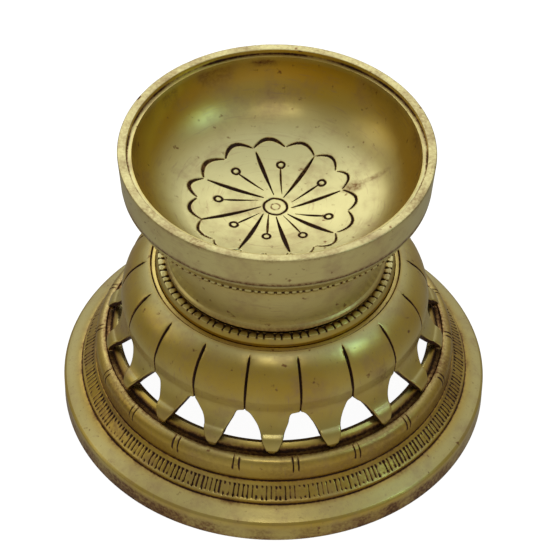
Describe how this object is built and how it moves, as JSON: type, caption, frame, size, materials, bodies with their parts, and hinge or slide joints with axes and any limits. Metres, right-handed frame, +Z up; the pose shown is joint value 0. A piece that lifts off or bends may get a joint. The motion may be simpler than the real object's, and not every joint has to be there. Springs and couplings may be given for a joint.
{
  "type": "pedestal votive lamp bowl",
  "caption": "Brass votive lamp: a round rimmed bowl with an engraved flower, screwed onto a pierced lotus-petal stand with a stepped round base.",
  "frame": {"origin": "centre of the base ring's resting face", "axes": "+Z up along the turning axis, -Y towards the viewer"},
  "size_m": [0.14, 0.14, 0.1058],
  "materials": {
    "turned_brass": "satin, aged, brown tarnish in the turned lines",
    "cast_brass": "satin, aged, dark patina in the chiselled strokes",
    "fixing_brass": "dull"
  },
  "bodies": {
    "stand": {"base_ring": "cast_brass", "lotus_skirt": "cast_brass", "collar_ring": "turned_brass", "threaded_bush": "fixing_brass"},
    "washer": {"seat_washer": "fixing_brass"},
    "bowl": {"foot_stud": "fixing_brass", "stud_nut": "fixing_brass", "bowl_foot": "turned_brass", "bowl": "turned_brass"}
  },
  "joints": [
    {"name": "bowl_rise", "type": "slide", "parent": "stand", "child": "washer", "axis": [0, 0, 1], "range_m": [0, 0.01051]},
    {"name": "bowl_turn", "type": "hinge", "parent": "washer", "child": "bowl", "pos_m": [0, 0, 0.053], "axis": [0, 0, 1], "range_deg": [0, 2520]}
  ],
  "couplings": [
    {"joint": "bowl_rise", "follows": "bowl_turn", "m_per_rad": 0.00023873}
  ]
}
